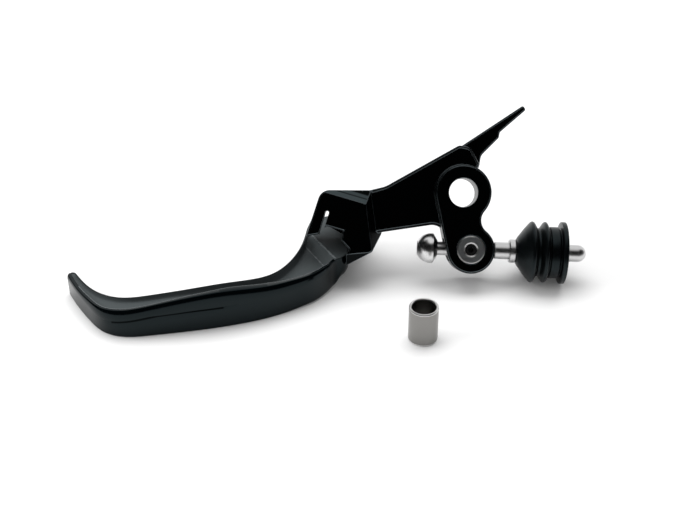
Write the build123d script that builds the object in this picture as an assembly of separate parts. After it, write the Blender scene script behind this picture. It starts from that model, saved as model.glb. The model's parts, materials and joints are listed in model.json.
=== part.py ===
from build123d import *
import os
from math import cos, degrees, hypot, radians, sin, sqrt, tan

os.makedirs("parts", exist_ok=True)

# Hydraulic brake lever: carrier plate, folding blade, barrel with pushrod, and the loose pivot bush
# Millimetres. X runs to the right along the lever, Y away from the viewer, Z up from the floor.
# The origin is the middle of the pivot bore. The plate leans back, so its own axes are
# u (along X), v (up the plate) and n (out of the plate, towards the viewer).

# Stance
plate_lean = 33.0
rod_dip = 2.2

# Pivot boss and barrel boss
pivot_bore_radius = 5.05
pivot_boss_radius = 9.9
boss_width = 13.0
boss_chamfer = 0.6
barrel_u = 2.7
barrel_v = -20.0
barrel_boss_radius = 8.4
waist_radius = 5.0
web_fillet_radius = 5.4

# Web of the plate
web_thickness = 6.0
web_chamfer = 0.9
web_peak_u, web_peak_v = -1.2, 16.7
web_brow_u, web_brow_v = 2.9, 16.0
web_brow_radius = 3.4
web_heel_u, web_heel_v = 6.0, 9.8
web_shoulder_u, web_shoulder_v = -27.0, 2.3
web_left_u = -36.0
web_under_v = -14.4
web_root_u, web_root_v = -12.8, -11.6

# Switch arm
arm_thickness = 3.0
arm_tip_u, arm_tip_v = 21.6, 30.9
arm_tip_width = 1.9
arm_notch_u, arm_notch_v = 13.4, 20.4
arm_notch_depth = 2.0
arm_heel_u, arm_heel_v = 6.8, 13.2
arm_edge_chamfer = 0.5

# Hood over the blade's root
hood_corner_u, hood_corner_v = -49.7, 0.9
hood_corner_radius = 4.2
hood_foot_u, hood_foot_v = -55.0, -15.3
hood_top_v = 0.9
hood_right_u = -28.4
hood_front_left_u, hood_front_left_v = -48.3, 0.1
hood_front_right_u, hood_front_right_v = -34.0, -4.1
hood_slope_width = 2.3
hood_low_right_u, hood_low_right_v = -31.9, -20.8
hood_low_left_v = -25.6
hood_bevel_width = 4.1
hood_bevel_depth = 4.0
hood_chamfer = 0.45
finger_end_u, finger_end_v = -50.4, -14.5
slit_width = 1.3
slit_top_u, slit_top_v = -47.4, -6.4
slit_length = 8.6
slit_angle = 73.0
notch_left_u, notch_left_v = -47.9, -11.7
notch_right_u, notch_right_v = -42.0, -13.4
notch_step_u, notch_step_v = -42.7, -16.9
notch_nose_u, notch_nose_v = -39.7, -20.0
notch_heel_u, notch_heel_v = -41.0, -21.2

# Blade, seen from above: points along its handlebar side and its far side, then heights from the front
blade_near = (
    (-139.1, -20.2), (-134.2, -28.8), (-128.7, -36.8), (-122.3, -43.2), (-116.5, -45.2), (-107.1, -44.7),
    (-90.5, -42.1), (-77.1, -38.7), (-63.7, -33.2), (-49.5, -22.8), (-42.1, -10.1),
)
blade_far = (
    (-55.3, 3.0), (-56.5, -8.0), (-60.4, -19.0), (-67.0, -27.2), (-77.0, -32.2),
    (-91.0, -35.7), (-107.1, -37.1), (-117.0, -36.5), (-125.5, -31.9), (-136.2, -18.5),
)
blade_tip_round = 1.6
root_end = (-41.0, -4.5)
root_side = (-39.0, -0.5)
root_back = (-47.6, 10.7)
root_far = (-53.5, 8.6)
root_height = 12.0
belly_height, belly_x = 13.4, -80.0
tip_height, tip_x = 8.4, -127.0
far_rim_width = 0.9
channel_depth = 2.2
channel_near = (
    (-129.6, -31.6), (-118.3, -41.2), (-106.4, -42.4), (-91.5, -40.3), (-76.7, -35.6),
    (-65.1, -30.8), (-53.9, -24.6), (-48.6, -19.6), (-44.9, -14.4),
)
scoop_line = ((0.225, -0.3), (0.3, 0.45), (0.42, 0.55), (0.52, 0.45), (0.63, -0.3))
scoop_ledge = ((-119.0, 5.6), (-76.0, 7.9))
scoop_foot = ((-101.0, -0.3), (-76.0, 7.9))
ridge_near = (-45.3, -15.4)
ridge_far = (-51.6, -5.7)
ramp_angle = 40.0
nose_x, nose_y = -42.4, -12.1
nose_radius = 2.6
nose_depth = 3.5

# Fold joint, heights measured up from the blade's underside
fold_x, fold_y = -38.5, 6.5
root_boss_radius = 6.0
root_clearance = 0.3
ear_radius = 6.0
ear_thickness = 6.0
ear_left_x, ear_right_x, ear_front_y = -41.5, -32.6, -2.5
bolt_shoulder_radius = 3.0
bolt_thread_radius = 2.4
bolt_thread_length = 5.0
bolt_head_radius = 4.3
bolt_head_height = 2.6
bolt_head_recess = 0.6
bolt_socket_radius = 1.7
bolt_socket_depth = 1.6
washer_thickness = 0.5
fold_bush_wall = 1.0
fold_bush_length = 3.0
running_clearance = 0.04
face_gap = 0.05
spring_wire = 1.0
spring_turns = 2.5
spring_pitch = 1.05
spring_pocket_depth = 3.5
spring_leg = 1.5
leg_clearance = 0.15
fold_limit = 65.0

# Barrel and its locking screw
barrel_radius = 5.0
barrel_chamfer = 0.35
screw_radius = 2.0
screw_length = 2.1
screw_recess = 0.5
screw_socket_radius = 1.1
screw_socket_depth = 1.3
screw_countersink = 0.5
pad_gap = 0.3

# Pushrod, knob and boot, measured from the barrel along the rod
thread_radius = 2.4
rod_radius = 3.0
thread_end = 8.9
knob_centre = 13.7
knob_radius = 5.4
knob_face = 13.0
knob_cone_end = 11.5
knob_cone_radius = 2.9
collar_start = 13.9
collar_width = 2.3
collar_radius = 4.15
rod_tip = 41.2
slot_swing = 8.5
slot_side_gap = 0.5
boot_crest_1 = 21.8
boot_valley = 24.0
boot_crest_2 = 26.4
boot_groove_1 = 27.7
boot_groove_2 = 31.3
boot_end = 33.6
boot_crest_radius = 10.9
boot_valley_radius = 8.3
boot_band_radius = 9.0
boot_groove_radius = 8.3
boot_flange_radius = 10.95
boot_flange_width = 1.7
boot_wall = 1.3
boot_mouth_radius = 7.2

# Loose pivot bush
bush_bore_radius = 4.0
bush_length = 13.2
bush_chamfer = 0.35
bush_x, bush_y = -15.1, -45.9
bush_fit = 0.05

# Derived places
lean = radians(plate_lean)
half_boss = boss_width / 2
half_web = web_thickness / 2
plate = Plane(origin=(0, 0, 0), x_dir=(1, 0, 0), z_dir=(0, -cos(lean), sin(lean)))
barrel_place = plate * Plane(origin=(barrel_u, barrel_v, 0)).location * Rot(0, 0, -rod_dip)


def on_plate(u, v, n):
    """Point in the shared frame of a point given along the plate and out of it."""
    return Vector(u, v * sin(lean) - n * cos(lean), v * cos(lean) + n * sin(lean))


flange_middle = boot_end - boot_flange_width / 2
flange_point = on_plate(
    barrel_u + flange_middle * cos(radians(rod_dip)),
    barrel_v - flange_middle * sin(radians(rod_dip)),
    0,
)
floor_z = flange_point.Z - boot_flange_radius
root_top = floor_z + root_height
ear_bottom = root_top + root_clearance


def extrude_between(face, low, high):
    """Solid over a face drawn in the base plane, between two heights."""
    return Pos(0, 0, low) * extrude(face, high - low, dir=(0, 0, 1))


def outline(*points):
    """Closed face with straight sides through points of the base plane."""
    return make_face(Polyline(*points, close=True))


def round_corner(face, point, radius):
    """Round the corner of a flat face that lies nearest to a point."""
    corner = face.vertices().sort_by_distance((point[0], point[1], 0))[0]
    return fillet(corner, radius)


def disc(x, y, radius, low, high):
    """Upright cylinder between two heights."""
    return extrude_between(Pos(x, y) * Circle(radius), low, high)


def level_edges(solid, height):
    """Edges of a solid that lie flat at one height."""
    return [
        edge
        for edge in solid.edges()
        if abs(edge.bounding_box().min.Z - height) < 1e-3
        and abs(edge.bounding_box().max.Z - height) < 1e-3
    ]


def inset(curve, distance, first=0.0, last=1.0):
    """Smooth curve that runs beside another one, to its left, at a distance."""
    count = 12
    points = []
    for step in range(count + 1):
        place = first + (last - first) * step / count
        way = curve % place
        points.append(curve @ place + Vector(-way.Y, way.X) * distance)
    return Spline(*points)


# Carrier plate, drawn in its own u, v, n axes
barrel_centre = (barrel_u, barrel_v)
boss_spacing = hypot(barrel_u, barrel_v)
boss_way = (barrel_u / boss_spacing, barrel_v / boss_spacing)


def waist_centre():
    """Centre of the hollow arc that joins the two bosses on their right side."""
    reach = pivot_boss_radius + waist_radius
    other = barrel_boss_radius + waist_radius
    along = (reach**2 - other**2 + boss_spacing**2) / (2 * boss_spacing)
    aside = sqrt(reach**2 - along**2)
    return (along * boss_way[0] - aside * boss_way[1], along * boss_way[1] + aside * boss_way[0])


def web_fillet_centre(start, end):
    """Centre and foot of the arc between the web's lower edge and the barrel boss."""
    length = hypot(end[0] - start[0], end[1] - start[1])
    along = ((end[0] - start[0]) / length, (end[1] - start[1]) / length)
    down = (along[1], -along[0])
    gap_u = start[0] + web_fillet_radius * down[0] - barrel_u
    gap_v = start[1] + web_fillet_radius * down[1] - barrel_v
    ahead = gap_u * along[0] + gap_v * along[1]
    reach = barrel_boss_radius + web_fillet_radius
    step = -ahead - sqrt(ahead**2 - gap_u**2 - gap_v**2 + reach**2)
    foot = (start[0] + step * along[0], start[1] + step * along[1])
    centre = (foot[0] + web_fillet_radius * down[0], foot[1] + web_fillet_radius * down[1])
    return centre, foot


def boss_pair():
    """Pivot boss and barrel boss: a hollow waist on the right, a straight tangent side on the left."""
    waist = waist_centre()
    bridge = outline((0, 0), barrel_centre, waist) - Pos(*waist) * Circle(waist_radius)
    tilt = (pivot_boss_radius - barrel_boss_radius) / boss_spacing
    level = sqrt(1 - tilt**2)
    side = (level * boss_way[1] + tilt * boss_way[0], tilt * boss_way[1] - level * boss_way[0])
    upper = (pivot_boss_radius * side[0], pivot_boss_radius * side[1])
    lower = (barrel_u + barrel_boss_radius * side[0], barrel_v + barrel_boss_radius * side[1])
    left = outline((0, 0), upper, lower, barrel_centre)
    face = Circle(pivot_boss_radius) + Pos(*barrel_centre) * Circle(barrel_boss_radius) + bridge + left
    pair = extrude_between(face, -half_boss, half_boss)
    pair = chamfer(level_edges(pair, half_boss), boss_chamfer)
    return chamfer(level_edges(pair, -half_boss), boss_chamfer)


def web():
    """Thin middle of the plate from the bosses to the hood."""
    crook = (hood_low_right_u, web_under_v)
    centre, foot = web_fillet_centre(crook, (web_root_u, web_root_v))
    peak = (web_peak_u, web_peak_v)
    brow = (web_brow_u, web_brow_v)
    shoulder = (web_shoulder_u, web_shoulder_v)
    face = outline(
        peak, brow, (web_heel_u, web_heel_v), (0, 0), barrel_centre, centre, foot, crook,
        (hood_low_right_u, hood_low_right_v), (web_left_u, hood_low_right_v),
        (web_left_u, hood_top_v), (hood_low_right_u, hood_top_v), shoulder,
    )
    for corner, radius in ((brow, web_brow_radius), (peak, 2.0), (shoulder, 9.0), (crook, 3.0)):
        face = round_corner(face, corner, radius)
    face -= Pos(*centre) * Circle(web_fillet_radius)
    slab = extrude_between(face, -half_web, half_web)
    slab = chamfer(level_edges(slab, half_web), web_chamfer)
    return chamfer(level_edges(slab, -half_web), web_chamfer)


def switch_arm():
    """Thin pointed arm at the upper right that works the brake-light switch."""
    tip = (arm_tip_u, arm_tip_v)
    tip_under = (arm_tip_u + arm_tip_width / 2, arm_tip_v - 0.85 * arm_tip_width)
    notch = (arm_notch_u, arm_notch_v + arm_notch_depth / 2)
    notch_low = (arm_notch_u - 0.4, arm_notch_v - arm_notch_depth / 2)
    heel = (arm_heel_u, arm_heel_v)
    throat = (web_heel_u, web_heel_v - 1.0)
    face = outline((web_peak_u, web_peak_v - 0.8), (0, web_heel_v), throat, heel, notch_low, notch,
                   tip_under, tip)
    tip_round = 0.4 * arm_tip_width
    for corner, radius in ((tip, tip_round), (tip_under, tip_round), (heel, 3.0), (notch_low, 0.8)):
        face = round_corner(face, corner, radius)
    arm = extrude_between(face, -half_web, arm_thickness - half_web)
    return chamfer(level_edges(arm, arm_thickness - half_web), arm_edge_chamfer)


def hood():
    """Block over the blade's root: sloped shelf and right side, bevelled foot, notch and slit."""
    corner = (hood_corner_u, hood_corner_v)
    nose = (notch_nose_u, notch_nose_v)
    face = outline(
        corner, (hood_foot_u, hood_foot_v), (finger_end_u, finger_end_v), (notch_left_u, notch_left_v),
        (notch_right_u, notch_right_v), (notch_step_u, notch_step_v), nose,
        (notch_heel_u, notch_heel_v), (notch_heel_u, hood_low_left_v),
        (hood_low_right_u, hood_low_right_v), (hood_right_u, web_under_v), (hood_right_u, hood_top_v),
    )
    face = round_corner(face, corner, hood_corner_radius)
    face = round_corner(face, nose, 0.8)
    block = extrude_between(face, -half_boss, half_boss)
    block = chamfer(level_edges(block, half_boss), hood_chamfer)
    front_left = (hood_front_left_u, hood_front_left_v, half_boss)
    front_right = (hood_front_right_u, hood_front_right_v, half_boss)
    front_low = (hood_low_right_u, hood_low_right_v, half_boss)
    shelf_back = (hood_front_right_u, hood_top_v, half_web)
    slope_back = (hood_front_right_u + hood_slope_width, hood_front_right_v, half_web)
    bevel_left = (notch_heel_u, hood_low_left_v + hood_bevel_width, half_boss)
    bevel_back = (notch_heel_u, hood_low_left_v, half_boss - hood_bevel_depth)
    shelf = Plane(
        origin=front_left,
        x_dir=Vector(*front_right) - Vector(*front_left),
        z_dir=(Vector(*front_right) - Vector(*front_left)).cross(Vector(*shelf_back) - Vector(*front_left)),
    )
    slope = Plane(
        origin=front_right,
        x_dir=Vector(*front_low) - Vector(*front_right),
        z_dir=(Vector(*front_low) - Vector(*front_right)).cross(Vector(*slope_back) - Vector(*front_right)),
    )
    bevel = Plane(
        origin=front_low,
        x_dir=Vector(*bevel_left) - Vector(*front_low),
        z_dir=(Vector(*bevel_left) - Vector(*front_low)).cross(Vector(*bevel_back) - Vector(*front_low)),
    )
    for cut in (shelf, slope, bevel):
        keep = Keep.BOTTOM if cut.z_dir.Z > 0 else Keep.TOP
        block = split(block, bisect_by=cut, keep=keep)
    slit_middle = (
        slit_top_u - slit_length / 2 * cos(radians(slit_angle)),
        slit_top_v - slit_length / 2 * sin(radians(slit_angle)),
    )
    slit = Pos(*slit_middle) * Rot(0, 0, slit_angle) * SlotOverall(slit_length, slit_width)
    return block - extrude_between(slit, -half_boss, half_boss)


def blade_plan():
    """Blade seen from above, with the round end of its root about the fold axis."""
    edges = [
        Spline(*blade_near),
        Polyline(blade_near[-1], root_end, (fold_x, fold_y), root_back, root_far, blade_far[0]),
        Spline(*blade_far),
        Line(blade_far[-1], blade_near[0]),
    ]
    face = make_face(edges)
    face = round_corner(face, blade_near[0], blade_tip_round)
    face = round_corner(face, blade_far[-1], blade_tip_round)
    back = (fold_x, fold_y + root_boss_radius)
    lug = outline(root_back, root_far, root_end, root_side, (fold_x + root_boss_radius, fold_y), back)
    return face + lug + Pos(fold_x, fold_y) * Circle(root_boss_radius)


def channel_plan():
    """Channel seen from above: a broad rim on its near side, a thin one on its far side."""
    near = Spline(*channel_near)
    far = inset(Spline(*blade_far), far_rim_width, 0.03, 0.92)
    tip = ThreePointArc(far @ 1, (far @ 1 + near @ 0) / 2 + Vector(-0.2, 0.5), near @ 0)
    return make_face([near, Line(near @ 1, far @ 0), far, tip])


def under_top_line(drop):
    """Everything below the blade's top line, lowered by a distance."""
    right = 0.0
    root_x = blade_far[2][0]
    left = blade_near[0][0] - 10.0
    top = Spline(
        (left, floor_z + tip_height - drop),
        (tip_x, floor_z + tip_height - drop),
        (belly_x, floor_z + belly_height - drop),
        (root_x, root_top - drop),
        tangents=((1, 0), (1, 0)),
    )
    low = floor_z - 5.0
    sides = Polyline((root_x, root_top - drop), (right, root_top - drop), (right, low), (left, low),
                     (left, floor_z + tip_height - drop))
    face = Plane.XZ * make_face(Wire([top, *sides.edges()]))
    return Pos(0, 60, 0) * extrude(face, 160, dir=(0, -1, 0))


def side_cut(low_end, high_end, facing):
    """Plane along Y through two points given as place along the blade and height, facing up or down."""
    start = Vector(low_end[0], 0, floor_z + low_end[1])
    way = Vector(high_end[0] - low_end[0], 0, high_end[1] - low_end[1]).normalized()
    return Plane(origin=start, x_dir=way, z_dir=Vector(-way.Z, 0, way.X) * facing)


def finger_scoop():
    """Long shallow hollow in the near wall, under a straight ledge and rising away from the foot."""
    wall = Spline(*blade_near)
    points = []
    for place, depth in scoop_line:
        way = wall % place
        points.append(wall @ place + Vector(-way.Y, way.X) * depth)
    inner = Spline(*points)
    outer = inset(wall, -1.5, scoop_line[0][0], scoop_line[-1][0])
    plan = make_face([inner, Line(inner @ 1, outer @ 1), outer, Line(outer @ 0, inner @ 0)])
    hollow = extrude_between(plan, floor_z - 1, floor_z + belly_height)
    hollow = split(hollow, bisect_by=side_cut(*scoop_ledge, 1), keep=Keep.BOTTOM)
    return split(hollow, bisect_by=side_cut(*scoop_foot, 1), keep=Keep.TOP)


def lever_blade():
    """Folding blade: curved bar with a channel in its top and a flat root that carries the joint."""
    plan = blade_plan()
    body = extrude_between(plan, floor_z, floor_z + belly_height + 3) & under_top_line(0)
    ridge = Vector(*ridge_near, 0) - Vector(*ridge_far, 0)
    ridge = ridge.normalized()
    out = Vector(ridge.Y, -ridge.X, 0)
    rise = radians(ramp_angle)
    ramp = Plane(
        origin=(ridge_far[0], ridge_far[1], root_top),
        x_dir=ridge,
        z_dir=out * sin(rise) + Vector(0, 0, cos(rise)),
    )
    pocket = extrude_between(channel_plan(), floor_z, floor_z + belly_height + 3) - under_top_line(channel_depth)
    pocket = split(pocket, bisect_by=ramp, keep=Keep.TOP)
    cut_line = Plane(origin=(ridge_far[0], ridge_far[1], 0), x_dir=ridge, z_dir=out)
    pocket = split(pocket, bisect_by=cut_line, keep=Keep.TOP)
    body = body - pocket - finger_scoop()
    body += disc(nose_x, nose_y, nose_radius, root_top - nose_depth, root_top)
    return body


def turned(points):
    """Solid of revolution about the rod's axis from (place along the rod, radius) points."""
    profile = make_face(Polyline(*points, (points[-1][0], 0), (points[0][0], 0), close=True))
    return revolve(profile, Axis.X)


def fold_joint_space():
    """Everything that the root and its swing need free of the carrier, up to the ear's underside."""
    near = inset(Spline(*blade_near), -root_clearance, 0.8, 1.0)
    right = fold_x + root_boss_radius + root_clearance
    back = fold_y + 2 * root_boss_radius
    way_round = Polyline(
        near @ 1,
        (root_end[0] + root_clearance, root_end[1]),
        (root_side[0] + 1.5 * root_clearance, root_side[1]),
        (right, fold_y),
        (right, back),
        (hood_foot_u - 10, back),
        near @ 0,
    )
    space = extrude_between(make_face([near, way_round]), floor_z - 5, ear_bottom)
    return space + disc(nose_x, nose_y, nose_radius + root_clearance, floor_z - 5, ear_bottom)


def lever_carrier():
    """Carrier plate with bores, hood and the ear that holds the fold bolt."""
    body = boss_pair() + web() + switch_arm() + hood()
    body -= disc(0, 0, pivot_bore_radius, -boss_width, boss_width)
    body -= disc(barrel_u, barrel_v, barrel_radius + running_clearance, -boss_width, boss_width)
    reach = barrel_boss_radius + 1
    swing = tan(radians(slot_swing + rod_dip))
    right = rod_radius + slot_side_gap
    left = thread_radius + slot_side_gap
    slot = outline(
        (-reach, -left - reach * swing), (0, -left), (0, -right), (reach, -right - reach * swing),
        (reach, right + reach * swing), (0, right), (0, left), (-reach, left + reach * swing),
    )
    slot = Pos(*barrel_centre) * slot
    body -= extrude_between(slot, -right, right)
    body = plate.location * body
    ear = disc(fold_x, fold_y, ear_radius, ear_bottom, ear_bottom + ear_thickness)
    bridge = outline((ear_left_x, ear_front_y), (ear_right_x, ear_front_y),
                     (ear_right_x, fold_y), (ear_left_x, fold_y))
    ear += extrude_between(bridge, ear_bottom, ear_bottom + ear_thickness)
    body = body + ear - fold_joint_space()
    thread_hole = bolt_thread_radius + running_clearance
    body -= disc(fold_x, fold_y, thread_hole, ear_bottom - 1, ear_bottom + bolt_thread_length + 0.4)
    leg_x, leg_y = spring_point(spring_turns * 360)
    body -= disc(leg_x, leg_y, spring_wire / 2 + leg_clearance, ear_bottom - 1, ear_bottom + spring_leg + 0.3)
    return body


spring_radius = bolt_shoulder_radius + spring_wire
spring_start = 250.0
pocket_floor = root_top - spring_pocket_depth
head_low = floor_z + bolt_head_recess
head_top = head_low + bolt_head_height
washer_top = head_top + washer_thickness
seat = washer_top + face_gap
fold_bush_radius = bolt_shoulder_radius + running_clearance + fold_bush_wall


def spring_point(turn):
    """Place on the spring's mean circle after a number of degrees."""
    angle = radians(spring_start + turn)
    return fold_x + spring_radius * cos(angle), fold_y + spring_radius * sin(angle)


def root_bores():
    """Space in the blade's root for the bolt, its bush, the spring and the spring's leg."""
    coil = spring_radius + spring_wire / 2 + root_clearance
    margin = degrees((spring_wire / 2 + leg_clearance) / spring_radius)
    first = radians(spring_start - margin)
    last = radians(spring_start + fold_limit + margin)
    far = 3 * coil
    wedge = Pos(fold_x, fold_y) * extrude_between(
        outline((0, 0), (far * cos(first), far * sin(first)), (far * cos(last), far * sin(last))),
        pocket_floor - spring_leg - 0.2,
        root_top,
    )
    space = wedge & disc(fold_x, fold_y, coil, floor_z, root_top)
    space += disc(fold_x, fold_y, coil, pocket_floor, root_top + 1)
    space += disc(fold_x, fold_y, bolt_shoulder_radius + root_clearance, seat, root_top + 1)
    space += disc(fold_x, fold_y, fold_bush_radius, seat, seat + fold_bush_length)
    return space + disc(fold_x, fold_y, bolt_head_radius + root_clearance, floor_z - 1, seat)


def fold_bolt():
    """Shoulder bolt with a hexagon socket, put in from below."""
    bolt = disc(fold_x, fold_y, bolt_head_radius, head_low, head_top)
    bolt = chamfer(level_edges(bolt, head_low), 0.3)
    bolt += disc(fold_x, fold_y, bolt_shoulder_radius, head_top, ear_bottom)
    bolt += disc(fold_x, fold_y, bolt_thread_radius, ear_bottom, ear_bottom + bolt_thread_length)
    socket = Pos(fold_x, fold_y) * RegularPolygon(bolt_socket_radius, 6)
    return bolt - extrude_between(socket, head_low, head_low + bolt_socket_depth)


def fold_washer():
    """Thrust washer between the bolt's head and the blade's root."""
    inner = bolt_shoulder_radius + running_clearance
    face = Circle(bolt_head_radius) - Circle(inner)
    return extrude_between(Pos(fold_x, fold_y) * face, head_top, washer_top)


def fold_bush():
    """Plain bearing pressed into the blade's root."""
    face = Circle(fold_bush_radius) - Circle(bolt_shoulder_radius + running_clearance)
    return extrude_between(Pos(fold_x, fold_y) * face, seat, seat + fold_bush_length)


def fold_spring():
    """Torsion spring: one leg in the ear, one in the root."""
    low = pocket_floor + spring_wire / 2 + 0.1
    rise = spring_turns * spring_pitch
    path = Pos(fold_x, fold_y, low) * Rot(0, 0, spring_start) * Helix(spring_pitch, rise, spring_radius)
    start = path @ 0
    wire = Plane(origin=start, z_dir=path % 0) * Circle(spring_wire / 2)
    coil = sweep(wire, path=path)
    leg_x, leg_y = spring_point(spring_turns * 360)
    up = disc(leg_x, leg_y, spring_wire / 2, low + rise, ear_bottom + spring_leg)
    down = disc(start.X, start.Y, spring_wire / 2, pocket_floor - spring_leg, low)
    return coil + up + down


def barrel():
    """Cross barrel with the rod's tapped hole and the locking screw's hole."""
    body = disc(0, 0, barrel_radius, -half_boss, half_boss)
    body = chamfer(level_edges(body, half_boss), barrel_chamfer)
    body = chamfer(level_edges(body, -half_boss), barrel_chamfer)
    body -= Rot(0, 90, 0) * Cylinder(thread_radius + running_clearance, 4 * barrel_radius)
    hole = disc(0, 0, screw_radius, 0, half_boss)
    flare = Pos(0, 0, half_boss - screw_countersink / 2) * Cone(
        screw_radius, screw_radius + screw_countersink, screw_countersink
    )
    return barrel_place * (body - hole - flare)


screw_top = half_boss - screw_recess
screw_low = screw_top - screw_length


def barrel_grub_screw():
    """Socket screw in the barrel's centre."""
    body = disc(0, 0, screw_radius - running_clearance, screw_low, screw_top)
    socket = RegularPolygon(screw_socket_radius, 6)
    body -= extrude_between(socket, screw_top - screw_socket_depth, screw_top)
    return barrel_place * body


def barrel_pad():
    """Nylon pad that the screw presses on the rod's thread."""
    low = thread_radius + pad_gap
    return barrel_place * disc(0, 0, screw_radius - running_clearance, low, screw_low)


def pushrod():
    """Rod with its thread's core, smooth shank, collar and round tip."""
    points = [
        (-knob_centre, thread_radius), (thread_end - 0.5, thread_radius), (thread_end, rod_radius),
        (collar_start, rod_radius), (collar_start, collar_radius - 0.3),
        (collar_start + 0.3, collar_radius), (collar_start + collar_width - 0.3, collar_radius),
        (collar_start + collar_width, collar_radius - 0.3),
        (collar_start + collar_width, rod_radius), (rod_tip - rod_radius, rod_radius),
    ]
    shank = turned(points)
    dome = Pos(rod_tip - rod_radius, 0, 0) * Sphere(rod_radius)
    return barrel_place * (shank + dome)


def adjuster_knob():
    """Ball knob: flat cut and cone towards the barrel, bored for the rod's end."""
    ball = Pos(-knob_centre, 0, 0) * Sphere(knob_radius)
    face_radius = sqrt(knob_radius**2 - (knob_centre - knob_face) ** 2)
    cone = turned([(-knob_face, face_radius), (-knob_cone_end, knob_cone_radius)])
    cut = Pos(-knob_face + 10, 0, 0) * Box(20, 20, 20)
    bore = Rot(0, 90, 0) * Cylinder(thread_radius + running_clearance, 4 * knob_centre)
    knob = ball - cut + cone - bore
    return barrel_place * knob


def dust_boot():
    """Rubber bellows from the collar to the flange, open inside."""
    start = collar_start + collar_width + face_gap
    neck = rod_radius + running_clearance
    outer = [
        (start, collar_radius), (boot_crest_1 - 0.5, boot_crest_radius - 0.3),
        (boot_crest_1, boot_crest_radius), (boot_crest_1 + 0.6, boot_crest_radius - 0.3),
        (boot_valley, boot_valley_radius), (boot_valley + 0.6, boot_valley_radius),
        (boot_crest_2 - 0.5, boot_crest_radius - 0.3), (boot_crest_2, boot_crest_radius),
        (boot_crest_2 + 0.5, boot_crest_radius - 0.4), (boot_groove_1 - 0.3, boot_groove_radius),
        (boot_groove_1, boot_groove_radius), (boot_groove_1 + 0.3, boot_band_radius),
        (boot_groove_2 - 0.3, boot_band_radius), (boot_groove_2, boot_groove_radius),
        (boot_end - boot_flange_width, boot_groove_radius),
        (boot_end - boot_flange_width, boot_flange_radius), (boot_end, boot_flange_radius),
    ]
    inner = [
        (start, neck), (start + boot_wall, neck),
        (boot_crest_1 - 0.5, boot_crest_radius - 1.3 - boot_wall),
        (boot_valley, boot_valley_radius - boot_wall),
        (boot_end, boot_mouth_radius),
    ]
    profile = make_face(Polyline(*outer, *reversed(inner), close=True))
    return barrel_place * revolve(profile, Axis.X)


def pivot_bush():
    """Loose bush for the pivot bore, standing on its end in front of the lever."""
    face = Circle(pivot_bore_radius - bush_fit) - Circle(bush_bore_radius)
    tube = extrude_between(face, 0, bush_length)
    tube = chamfer(level_edges(tube, bush_length), bush_chamfer)
    tube = chamfer(level_edges(tube, 0), bush_chamfer)
    return Pos(bush_x, bush_y, floor_z) * tube


parts = {
    "lever_carrier": lever_carrier(),
    "lever_blade": lever_blade() - root_bores(),
    "fold_bolt": fold_bolt(),
    "fold_washer": fold_washer(),
    "fold_bush": fold_bush(),
    "fold_spring": fold_spring(),
    "barrel": barrel(),
    "barrel_grub_screw": barrel_grub_screw(),
    "barrel_pad": barrel_pad(),
    "pushrod": pushrod(),
    "adjuster_knob": adjuster_knob(),
    "dust_boot": dust_boot(),
    "pivot_bush": pivot_bush(),
}
for name, solid in parts.items():
    export_step(solid, f"parts/{name}.step")
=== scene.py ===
# %% [markdown]
# A hydraulic brake lever, dressed for a picture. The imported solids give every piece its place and
# its motion. Here they get the soft edges, hollows and finishes that light needs, and a white
# studio with the camera where the photographer stood.

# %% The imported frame
import json
from math import cos, pi, radians, sin, tan

import bmesh
import bpy
import numpy as np
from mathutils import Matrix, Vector


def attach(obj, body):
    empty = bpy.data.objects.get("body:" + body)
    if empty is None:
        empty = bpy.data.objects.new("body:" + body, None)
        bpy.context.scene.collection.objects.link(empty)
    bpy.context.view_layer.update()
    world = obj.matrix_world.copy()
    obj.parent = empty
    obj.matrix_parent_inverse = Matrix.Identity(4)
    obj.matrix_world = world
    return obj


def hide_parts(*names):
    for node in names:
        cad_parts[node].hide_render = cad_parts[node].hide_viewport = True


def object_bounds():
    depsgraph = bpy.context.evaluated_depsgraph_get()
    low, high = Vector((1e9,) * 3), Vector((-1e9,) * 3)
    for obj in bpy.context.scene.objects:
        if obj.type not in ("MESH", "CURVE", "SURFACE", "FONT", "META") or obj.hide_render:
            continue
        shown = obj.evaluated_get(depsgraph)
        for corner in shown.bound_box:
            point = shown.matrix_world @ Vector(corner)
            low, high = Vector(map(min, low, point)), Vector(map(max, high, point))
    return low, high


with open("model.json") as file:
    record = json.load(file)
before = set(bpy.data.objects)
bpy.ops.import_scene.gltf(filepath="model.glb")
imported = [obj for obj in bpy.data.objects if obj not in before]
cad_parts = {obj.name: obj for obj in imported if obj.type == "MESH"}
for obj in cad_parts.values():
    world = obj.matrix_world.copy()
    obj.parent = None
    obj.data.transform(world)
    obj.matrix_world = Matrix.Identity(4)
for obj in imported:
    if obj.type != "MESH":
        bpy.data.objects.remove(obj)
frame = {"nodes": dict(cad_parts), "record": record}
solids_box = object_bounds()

print("solids from", [round(x * 1000, 1) for x in solids_box[0]])
print("solids to", [round(x * 1000, 1) for x in solids_box[1]], "mm")

# %% [markdown]
# Every size below is in millimetres, as a maker would write it, and the last step of each mesh
# turns it into metres. Two facts are read from the frame instead of being typed: the floor is the
# lowest point of the solids, and the plate leans back by the angle of the pivot bore's axis.

# %% Units, floor and the leaning plate
MM = 0.001
floor_z = solids_box[0].z / MM
pivot = next(mount for mount in frame["record"]["mounts"] if mount["name"] == "pivot_bore")
plate_out = np.array(pivot["axis"])
plate_up = np.array([0.0, plate_out[2], -plate_out[1]])
plate_along = np.array([1.0, 0.0, 0.0])


def on_plate(u, v, n):
    """Point u along the lever, v up the plate and n out of it: u * along + v * up + n * out."""
    return u * plate_along + v * plate_up + n * plate_out


print("floor at", round(floor_z, 2), "mm, plate faces", plate_out.round(3))

# %% [markdown]
# A surface here is a grid of points worked out with numpy. One function turns any grid into a mesh:
# each cell of the grid is a face, and a grid may close on itself along either way.

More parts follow.
